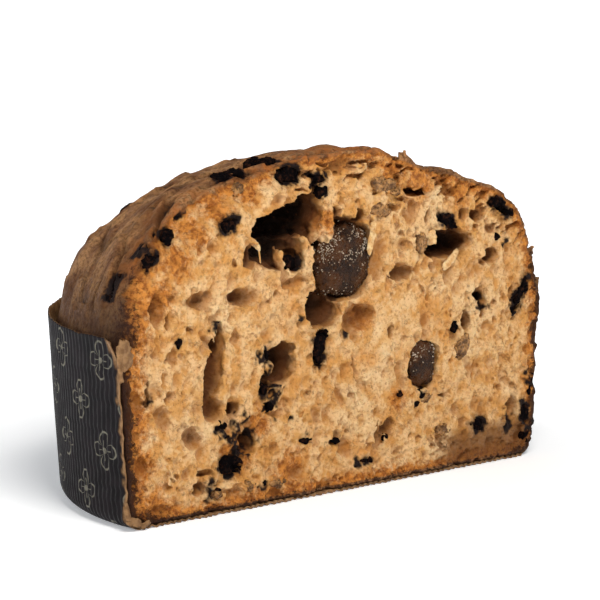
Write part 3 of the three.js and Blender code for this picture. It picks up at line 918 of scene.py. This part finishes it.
def chocolate_material():
    s = Shader("chocolate")
    dust = s.spread(s.noise(1.8, 5, 0.7), 0.5, 0.68, 0, 0.8)
    return s.finish(s.noise(0.8, 5, 0.7), 0.8, Base_Color=s.mix(dust, "#0a0708", "#3b2216"),
                    Roughness=s.gloss(1.2, 3, 0.65, 0.95), Specular_IOR_Level=0.02)


def chestnut_material():
    s = Shader("chestnut")
    tone = s.mottle("#241307", "#45270f", 8.0, 3, 0.42, 0.6)
    tone = s.mottle(tone, "#5e3a1c", 1.4, 4, 0.5, 0.7, 0, 0.35)
    return s.finish(s.noise(1.0, 5, 0.7), 0.8, (0.15, (1.0, 0.45, 0.2), 0.002), Base_Color=tone,
                    Roughness=s.gloss(0.9, 3, 0.12, 0.45), Specular_IOR_Level=0.12)


def pale_material():
    s = Shader("candied_crumbs")
    tone = s.mottle("#5a3c22", "#a87c4c", 3.0, 3, 0.35, 0.65)
    tone = s.mottle(tone, "#331f10", 0.9, 3, 0.45, 0.65, 0, 0.7)
    return s.finish(s.noise(0.8, 4, 0.65), 0.4, (0.2, (1.0, 0.6, 0.3), 0.002), Base_Color=tone,
                    Roughness=s.gloss(1.0, 3, 0.1, 0.4), Specular_IOR_Level=0.12)


def sugar_material():
    s = Shader("sugar")
    tone = s.mottle("#b8a58f", "#7f6953", 2.0, 2, 0.4, 0.6)
    return s.finish(s.noise(0.4, 2), 0.05, (0.5, (1.0, 0.9, 0.8), 0.001), Base_Color=tone,
                    Roughness=s.gloss(0.6, 2, 0.1, 0.4))


def skin_material():
    s = Shader("torn_skins")
    tone = s.mottle("#e3bd8a", "#c99358", 2.5, 3, 0.35, 0.65)
    tone = s.mottle(tone, "#a56d36", 0.8, 3, 0.5, 0.7, 0, 0.5)
    return s.finish(s.noise(0.7, 4, 0.65), 0.4, (0.3, (1.0, 0.55, 0.25), 0.002), Base_Color=tone,
                    Roughness=s.gloss(1.0, 3, 0.45, 0.75), Specular_IOR_Level=0.3)


# Thin sheets

def join(parts):
    """One mesh's points and faces from several."""
    points, faces, start = [], [], 0
    for p, f in parts:
        points.append(p)
        faces.append(f + start)
        start += len(p)
    return np.concatenate(points), np.concatenate(faces)


# How finely a torn sheet is worked out, and how thick it is, in mm
SKIN_CELL = 0.35
SKIN_THICK = 0.3


def skin(middle, across, up, turn, lean, bend, seed):
    """A thin torn sheet of crumb or paper with a ragged outline, closed, curled by bend."""
    noise = Noise(seed)
    columns, rows = (max(int(size / SKIN_CELL), 6) for size in (across, up))
    u, v = np.meshgrid(np.linspace(-1, 1, columns), np.linspace(-1, 1, rows), indexing="ij")
    a, b = u * 3 * across / 4, v * 3 * across / 4
    ragged = 1 + 0.22 * noise.over(a, b, 0, 1.2)
    local_x = u * across / 2 * np.sqrt(1 - 0.35 * v * v) * ragged
    local_z = v * up / 2 * np.sqrt(1 - 0.35 * u * u) * ragged
    swell = 0.35 * noise.over(a + 9, b + 9, 9, 1.5)
    local_y = bend * (u * u + 0.4 * v * v) + swell
    c, s = math.cos(lean), math.sin(lean)
    both = []
    for side in (0, SKIN_THICK):
        x = local_x * math.cos(turn) - (local_y + side) * math.sin(turn)
        y = local_x * math.sin(turn) + (local_y + side) * math.cos(turn)
        both.append(np.stack([x * c - local_z * s, y, x * s + local_z * c], -1).reshape(-1, 3))
    points = np.concatenate(both) + middle
    return points, slab_faces(columns, rows)


def slab_faces(columns, rows):
    """Faces of a closed slab: a grid of points on each side, joined round the edge."""
    total = columns * rows
    index = np.arange(total).reshape(columns, rows)
    near = np.stack([index[:-1, :-1], index[:-1, 1:], index[1:, 1:], index[1:, :-1]], -1).reshape(-1, 4)
    edge = np.concatenate([index[0, :-1], index[:-1, -1], index[-1, :0:-1], index[:0:-1, 0]])
    after = np.roll(edge, -1)
    rim = np.stack([after, edge, edge + total, after + total], 1)
    return np.concatenate([near, near[:, ::-1] + total, rim])


# The paper case: one closed sheet from the rim down the fluted wall, round the foot and over the
# floor to the knife

# The printed pattern: its pitch, its petals' reach, and where a column and a ring begin
MOTIF_PITCH = 31.5
MOTIF_REACH = 6.6
MOTIF_START = (3.1, 58.6)
# How wide bare paper shows along the torn edge, and how deep the rim is frayed
TORN = 2.3
FRAYED = 1.5


class PaperCase:
    """Points of the case's sheet by column along the arc and row from the rim to the knife."""

    def __init__(self):
        turn = np.linspace(0, math.pi, 960)
        fine = np.linspace(0, turn[4], 14, endpoint=False)
        self.turn = np.concatenate([fine, turn[4:-4], math.pi - fine[::-1]])
        rim = np.linspace(0, FRAYED, 5)[:-1]
        wall = np.linspace(FRAYED, CASE_HEIGHT - CASE_CORNER, 34)[:-1]
        self.drops = np.concatenate([rim, wall])
        self.foot = np.linspace(0, math.pi / 2, 9)
        self.floor = np.linspace(0, 1, 26)[1:]
        self.ragged = Noise(101)
        self.crumple = Noise(102)

    def line(self, along, span):
        """A ragged line, about from -1 to 1."""
        return self.ragged.over(along, 0, 0, span) + 0.5 * self.ragged.over(along, 0, 0, span / 3)

    def wall_tear(self, z, right):
        """Where the wall's torn edge lies behind the knife's plane, on the right or the left."""
        return 0.9 + 0.9 * self.line(z + (400 if right else 0), 2.8) + (2.2 if right else 0.0)

    def floor_tear(self, x):
        return 0.6 + 0.7 * self.line(x + 800, 2.6)

    def sheet(self, inset):
        """The outer points of the sheet, or with an inset the inner ones."""
        t = self.turn
        flute = -FLUTE_DEPTH * (0.5 - 0.5 * np.cos(t * FLUTES))
        rows = []
        for drop in self.drops:
            height = CASE_HEIGHT - drop
            frayed = 0.5 * self.line(t * 100, 7.0) * max(1 - drop / FRAYED, 0)
            rows.append((wall_radius(height) + flute - inset, height + frayed))
        middle = CASE_RADIUS - CASE_TAPER - CASE_CORNER
        for angle in self.foot:
            corner = CASE_CORNER + (flute * math.cos(angle)) - inset
            rows.append((middle + corner * math.cos(angle), CASE_CORNER - corner * math.sin(angle)))
        columns = []
        for radius, height in rows:
            radius, height = radius + 0 * t, height + 0 * t
            start = self.wall_tear(height, True) / CASE_RADIUS
            end = math.pi - self.wall_tear(height, False) / CASE_RADIUS
            angle = start + (end - start) * t / math.pi
            columns.append(np.stack([radius * np.cos(angle), radius * np.sin(angle), height], 1))
        x, y, z = columns[-1].T
        for share in self.floor:
            lift = 0.8 * (0.5 - 0.5 * np.cos(x / CASE_RADIUS * FLUTES)) * smooth(share, 0, 0.1)
            columns.append(np.stack([x, y + (self.floor_tear(x) - y) * share, z + lift], 1))
        return np.stack(columns, 1)

    def shape(self, points):
        """Crumples the foot's corner by the cut and turns the torn corner of the rim outwards."""
        x, y, z = points[..., 0], points[..., 1], points[..., 2]
        left = x < 0
        crush = 1.4 * self.crumple.over(x, y, z, 5.0) * hump(z, 16) * hump(y, 14) * left
        peel = 3.2 * smooth(9 - 0.8 * (CASE_HEIGHT - z) - 0.9 * y, 0, 9) * left
        wave = 0.35 * self.crumple.over(x, y, z, (22, 22, 40)) * smooth(z, 10, 40)
        frayed = 0.7 * self.crumple.over(x, y, z, (4, 4, 3)) * hump(y, 5) * left
        radial = crush - 0.3 * np.abs(crush) + peel + wave + frayed
        length = np.maximum(np.hypot(x, y), 1)
        return np.stack([x + radial * x / length, y + radial * y / length, np.maximum(z, 0.02)], -1)

    def build(self):
        outer, inner = self.shape(self.sheet(0.0)), self.shape(self.sheet(PAPER))
        count, rows = outer.shape[:2]
        points = np.concatenate([outer.reshape(-1, 3), inner.reshape(-1, 3)])
        faces = slab_faces(count, rows)
        if enclosed_volume(points, faces) < 0:
            faces = faces[:, ::-1]
        x, y, z = outer[..., 0], outer[..., 1], outer[..., 2]
        width = TORN * (0.55 + 0.6 * self.line(z + 90, 2.2)) + 4.5 * smooth(z, 55, 66) * (x < 0)
        behind = y - self.wall_tear(z, False)
        torn = 1 - smooth(behind, 0.8 * width, width + 0.5)
        torn = np.maximum(torn, (1 - smooth(y, 0.8, 2.0)) * (z < 1.5))
        kraft = np.concatenate([torn.ravel(), np.ones(torn.size)])
        around = np.repeat((math.pi - self.turn) * CASE_RADIUS, rows)
        return points, faces, {"kraft": kraft, "around": np.tile(around, 2)}


def motif(s):
    """Rings of four rounded petals, printed in columns that stand half a pitch higher by turns."""
    around = s.math("SUBTRACT", s.attribute("around"), MOTIF_START[0])
    split = s.nodes.new("ShaderNodeSeparateXYZ")
    s.links.new(s.place, split.inputs[0])
    up = s.math("MULTIPLY", split.outputs[2], 1 / MM)
    column = s.math("FLOOR", s.math("DIVIDE", around, MOTIF_PITCH / 2))
    middle = s.math("MULTIPLY", s.math("ADD", column, 0.5), MOTIF_PITCH / 2)
    u = s.math("SUBTRACT", around, middle)
    raised = s.math("MULTIPLY", s.math("MODULO", column, 2.0), MOTIF_PITCH / 2)
    shifted = s.math("ADD", s.math("ADD", up, 20.5 * MOTIF_PITCH - MOTIF_START[1]), raised)
    v = s.math("SUBTRACT", s.math("MODULO", shifted, MOTIF_PITCH), MOTIF_PITCH / 2)
    far = s.math("SQRT", s.math("ADD", s.math("MULTIPLY", u, u), s.math("MULTIPLY", v, v)))
    lobes = s.math("ABSOLUTE", s.math("COSINE", s.math("MULTIPLY", s.math("ARCTAN2", v, u), 2.0)))
    petal = s.math("MULTIPLY", s.math("POWER", lobes, 0.45), MOTIF_REACH)
    line = s.spread(s.math("ABSOLUTE", s.math("SUBTRACT", far, petal)), 0.15, 0.5, 1.0, 0.0)
    heart = s.spread(far, 0.9, 1.3, 1.0, 0.0)
    vein = s.math("MULTIPLY", s.spread(lobes, 0.985, 1.0), s.spread(far, 3.4, 3.8, 1.0, 0.0))
    return s.math("MAXIMUM", s.math("MAXIMUM", line, heart), vein)


def paper_material():
    s = Shader("paper")
    dark = s.mottle("#0f0c0d", "#191416", 6.0, 4, 0.35, 0.65)
    wear = s.spread(s.noise(1.2, 3), 0.25, 0.6, 0.45, 1.0)
    dark = s.mix(s.math("MULTIPLY", motif(s), wear), dark, "#6c685b")
    kraft = s.mottle("#6a4c31", "#8f6d4a", 2.5, 4, 0.35, 0.65)
    return s.finish(s.noise(1.0, 4), 0.08, Base_Color=s.mix(s.attribute("kraft"), dark, kraft),
                    Roughness=s.gloss(3.0, 3, 0.38, 0.55), Specular_IOR_Level=0.08)


# Flaps of the torn paper at the cut's left edge, described like the torn skins
FLAPS = [((-102.4, -0.8, 61.6), 7.6, 10.5, 0.1, 0.2, 0.7), ((-104, -0.7, 55.0), 2.4, 6, 0.2, 0.1, 0.5),
         ((-101.5, -0.6, 7.5), 3.0, 6.5, 0.3, 0.25, 0.6), ((-98.5, -0.7, 3.4), 6.5, 3.0, -0.1, -0.3, 0.6),
         ((-93.5, -0.6, 2.0), 5.0, 2.2, 0.1, 0.15, 0.4)]


def make_paper():
    points, faces, attributes = PaperCase().build()
    case = mesh_object("case", points, faces, attributes)
    material = paper_material()
    piece(case, "paper", material, "paper_case")
    points, faces = join([skin(*sheet, 950 + k) for k, sheet in enumerate(FLAPS)])
    bare = {"kraft": np.ones(len(points)), "around": np.zeros(len(points))}
    piece(mesh_object("paper_flaps", points, faces, bare), "paper", material)


# Chestnuts and chocolate

def lump_mesh(field, start):
    """The mesh of a field on a grid of the lumps' cells that begins at start."""
    return mesh_of(field, lambda where: np.array(start) + where * LUMP_CELL)


def rough_lump(name, swell, grain, seed):
    """A CAD node's shape with a broken surface, as points and faces."""
    values, origin = level_set(name, LUMP_CELL, LUMP_BAND)
    axes = [o + LUMP_CELL * np.arange(count) for o, count in zip(origin, values.shape)]
    field = values + swell * Noise(seed).on(axes, 3.4) + grain * np.abs(Noise(seed + 1).on(axes, 1.7))
    field += 0.45 * Noise(seed + 2).on(axes, 0.9)
    return lump_mesh(field, origin)


def round_lump(name, powers, lumps, seed):
    """A rounded body that fills a CAD node's box, with lumps on it."""
    low, high = (unplace([corner])[0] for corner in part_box(name))
    middle, radii = (low + high) / 2, (high - low) / 2
    axes = [np.arange(low[k] - 1.5, high[k] + 1.5, LUMP_CELL) for k in range(3)]
    shell = 0
    for k, axis in enumerate(crossed(axes)):
        bent = axis + 0.9 * Noise(seed + 3 + k).on(axes, 7.0)
        shell = shell + np.abs((bent - middle[k]) / radii[k]) ** powers[k]
    field = (shell ** (1 / powers[0]) - 1) * radii.min() + 0.3
    for k, (span, size) in enumerate(lumps):
        field = field + size * Noise(seed + k).on(axes, span)
    return lump_mesh(field, [a[0] for a in axes])


# Sugar on the chestnuts: how many grains, and half a grain's shortest and longest side in mm
SUGAR_GRAINS = {"chestnut_large": 520, "chestnut_small": 80}
SUGAR_SIZE = (0.08, 0.24)


def make_inclusions(dark, clear):
    candied, sugar = chestnut_material(), sugar_material()
    for k, name in enumerate(inclusion_names()):
        seed = 200 + 10 * k
        nut = name.startswith("chestnut")
        swell, grain = (1.0, 0.6) if nut else (1.6, 1.2)
        if name in WHOLE:
            points, faces = round_lump(name, (2.5, 6, 2.5), ((3.5, 0.5), (1.6, 0.5), (0.9, 0.3)), seed)
            look = candied
        else:
            points, faces = rough_lump(name, swell, grain, seed)
            look = clear if nut else dark
        body = mesh_object(name + "_piece", points, faces)
        piece(body, "chestnut" if nut else "chocolate", look, name)
        if name in SUGAR_GRAINS:
            grains = sugar_grains(points, faces, SUGAR_GRAINS[name], 77)
            piece(mesh_object(name + "_sugar", *grains), "chestnut", sugar)


# Small things in the bread, and the sugar on the chestnuts

# Specks of chocolate and see-through crumbs of candied chestnut, too small to be parts: middle on
# the cut face (x, z), width and height there and, where it has one, its lean
SPECKS = [(-57, 31, 5, 2.6), (-56, 27.5, 5, 2, 0.2), (-9, 108.8, 5, 4.6, 0.3), (41, 30, 5, 4, 0.3),
          (38, 27, 3, 3), (29.5, 32.5, 3, 3), (13.5, 9.5, 4.5, 1.8, 0.2), (22, 17, 2, 2),
          (79.5, 84.5, 3, 3), (-38, 7.5, 4, 3), (57, 53.5, 2.5, 3.5, -0.4), (-36, 53, 3, 4, 0.4),
          (-37.5, 42, 2.5, 4), (-34, 35, 2.5, 3), (96, 8, 4, 5), (98.5, 27, 2.4, 6, 0.1),
          (-25, 30, 1.6, 1.2), (-17, 20.5, 5, 1.6), (-3, 19, 4, 1.6),
          (-60.5, 9.5, 3, 2.4), (-8, 58, 1.8, 5, 0.1), (-77, 63, 1.5, 2.5)]
CANDIED = [(-44.5, 112, 5, 6, 0.6), (-44, 8, 6, 6, 0.2), (51.5, 15.5, 7, 5, 0.3), (20, 100, 10, 6, 0.3),
           (-31.5, 7.5, 7, 3, 0.1), (26, 106.5, 8, 4, -0.2), (43, 29, 5, 4), (-60, 8, 4, 5, 0.3)]
# Torn skins: middle, size across and up, turn round Z, lean in the face, and bend
SKINS = [((55, -0.3, 78.5), 11, 3.2, 0.15, 0.55, 0.6), ((16.5, 0.8, 90), 4.5, 12, 0.5, -0.25, 1.2),
         ((-40.5, 2.2, 93.6), 7, 2.4, -0.3, -0.75, 0.8), ((-38.3, 2.0, 89), 0.8, 6, 0.0, 0.15, 0.2),
         ((46, 1.0, 87.5), 4, 6, -0.4, 0.2, 0.8)]
# The share of its thickness by which a speck or crumb stands out of the cut face
PROUD = 0.12


def lump(seed, x, z, width, height, lean=0.0):
    """A small rough lump sunk in the cut face."""
    radii = np.array([width / 2, min(width, height) / 2 + 0.3, height / 2])
    depth = FACE.depth(np.array([x]), np.array([z]))[0]
    middle = np.array([x, depth + radii[1] * (1 - 2 * PROUD), z])
    reach = radii.max() + 1.5
    axes = [np.arange(m - reach, m + reach, LUMP_CELL) for m in middle]
    away = [a - centre for a, centre in zip(crossed(axes), middle)]
    field = ellipsoid_distance(*away, radii, -lean)
    field = field + 0.9 * Noise(seed).on(axes, 2.0) + 0.5 * Noise(seed + 1).on(axes, 0.9)
    return lump_mesh(field, [a[0] for a in axes])


def sugar_grains(points, faces, count, seed):
    """Small crystals on the lit side of a lump, as points and four-sided faces."""
    rng = np.random.default_rng(seed)
    a, b, c = (points[faces[:, k]] for k in range(3))
    normal = np.cross(b - a, c - a)
    normal /= np.maximum(np.linalg.norm(normal, axis=1, keepdims=True), 1e-9)
    middle = points[faces].mean(1)
    high = (middle[:, 2] - middle[:, 2].min()) / np.ptp(middle[:, 2])
    want = (normal[:, 1] < -0.3) * np.exp(-((high - 0.72) / 0.17) ** 2)
    want = want * smooth(Noise(seed).at(middle, 3.0), -0.3, 0.5) + 0.04 * (normal[:, 1] < -0.3)
    chosen = rng.choice(len(faces), count, p=want / want.sum())
    corner = np.array([(x, y, z) for x in (-1, 1) for y in (-1, 1) for z in (-1, 1)], float)
    cube = np.array([(0, 1, 3, 2), (4, 6, 7, 5), (0, 4, 5, 1), (2, 3, 7, 6), (0, 2, 6, 4), (1, 5, 7, 3)])
    parts = []
    for f in chosen:
        spin, _ = np.linalg.qr(rng.normal(size=(3, 3)))
        spin[:, 0] *= np.sign(np.linalg.det(spin))
        size = rng.uniform(*SUGAR_SIZE, 3)
        parts.append(((corner * size) @ spin.T + middle[f] + 0.08 * normal[f], cube))
    return join(parts)


def make_small_things(dark, clear):
    specks = join([lump(500 + 3 * k, *spot) for k, spot in enumerate(SPECKS)])
    piece(mesh_object("chocolate_specks", *specks), "chocolate", dark)
    bits = join([lump(700 + 3 * k, *spot) for k, spot in enumerate(CANDIED)])
    piece(mesh_object("candied_crumbs", *bits), "chestnut", clear)
    skins = join([skin(*sheet, 900 + k) for k, sheet in enumerate(SKINS)])
    piece(mesh_object("torn_skins", *skins), "crumb", skin_material())


# The studio

FLOOR_REACH = 3000


def add_light(name, size, energy, position, tint):
    data = bpy.data.lights.new(name, "AREA")
    data.shape = "RECTANGLE"
    data.size, data.size_y = size
    data.energy = energy
    data.color = tint
    lamp = bpy.data.objects.new(name, data)
    lamp.location = position
    lamp.rotation_mode = "QUATERNION"
    lamp.rotation_quaternion = (Vector((0, 0, 0.06)) - lamp.location).to_track_quat("-Z", "Y")
    bpy.context.scene.collection.objects.link(lamp)


def studio():
    """Soft light from the front left and above over a pale floor that glows, faintly near the loaf and fully
    further off, with pale air beyond its edge.
    """
    scene = bpy.context.scene
    scene.view_settings.view_transform = "Standard"
    world = bpy.data.worlds.new("studio")
    scene.world = world
    world.use_nodes = True
    nodes, links = world.node_tree.nodes, world.node_tree.links
    split = nodes.new("ShaderNodeSeparateXYZ")
    links.new(nodes.new("ShaderNodeTexCoord").outputs["Generated"], split.inputs[0])
    ramp = nodes.new("ShaderNodeMapRange")
    ramp.interpolation_type = "SMOOTHSTEP"
    for socket, number in zip(ramp.inputs[1:5], (-0.02, 0.25, 1.0, 0.22)):
        socket.default_value = number
    links.new(split.outputs[2], ramp.inputs[0])
    links.new(ramp.outputs[0], nodes["Background"].inputs["Strength"])
    nodes["Background"].inputs["Color"].default_value = (0.96, 0.98, 1.0, 1.0)
    add_light("key", (0.4, 0.4), 9.0, (-0.3, -0.6, 0.85), (1.0, 0.98, 0.95))
    add_light("fill", (0.6, 0.6), 0.8, (0.8, -0.6, 0.3), (1.0, 0.97, 0.94))
    add_light("rim", (0.3, 0.6), 3.2, (-0.8, 0.35, 0.3), (0.93, 0.96, 1.0))
    corners = FLOOR_REACH * np.array([(-1, -1, 0), (1, -1, 0), (1, 1, 0), (-1, 1, 0)])
    floor = mesh_object("floor", corners, np.array([[0, 1, 2, 3]]))
    s = Shader("floor")
    away = s.nodes.new("ShaderNodeVectorMath")
    away.operation = "LENGTH"
    s.links.new(s.place, away.inputs[0])
    # Painted light: the floor glows, faintly near the loaf and fully further away, so that it shows white
    # round a soft shadow
    s.set(Base_Color=s.mix(s.noise(300.0), "#f6f6f6", "#fafafa"), Roughness=0.9,
          Emission_Color="#fafcff", Emission_Strength=s.spread(away.outputs["Value"], 0.09, 0.35, 0.25, 1.0))
    floor.data.materials.append(s.material)


def camera():
    a, e = VIEW_AZIMUTH, VIEW_ELEVATION
    back = Vector((math.sin(a) * math.cos(e), -math.cos(a) * math.cos(e), math.sin(e)))
    right = Vector((math.cos(a), math.sin(a), 0))
    target = right * VIEW_TARGET[0] * MM + Vector((0, KNIFE_Y, VIEW_TARGET[1] * MM))
    data = bpy.data.cameras.new("camera")
    data.sensor_width = 36
    data.lens = FOCAL_PIXELS / PHOTO_SIDE * data.sensor_width
    data.clip_end = 20
    cam = bpy.data.objects.new("camera", data)
    cam.location = target + back * VIEW_DISTANCE * MM
    cam.rotation_mode = "QUATERNION"
    cam.rotation_quaternion = (-back).to_track_quat("-Z", "Y")
    bpy.context.scene.collection.objects.link(cam)
    bpy.context.scene.camera = cam


camera()
studio()
make_bread()
make_paper()
chocolate, see_through = chocolate_material(), pale_material()
make_inclusions(chocolate, see_through)
make_small_things(chocolate, see_through)
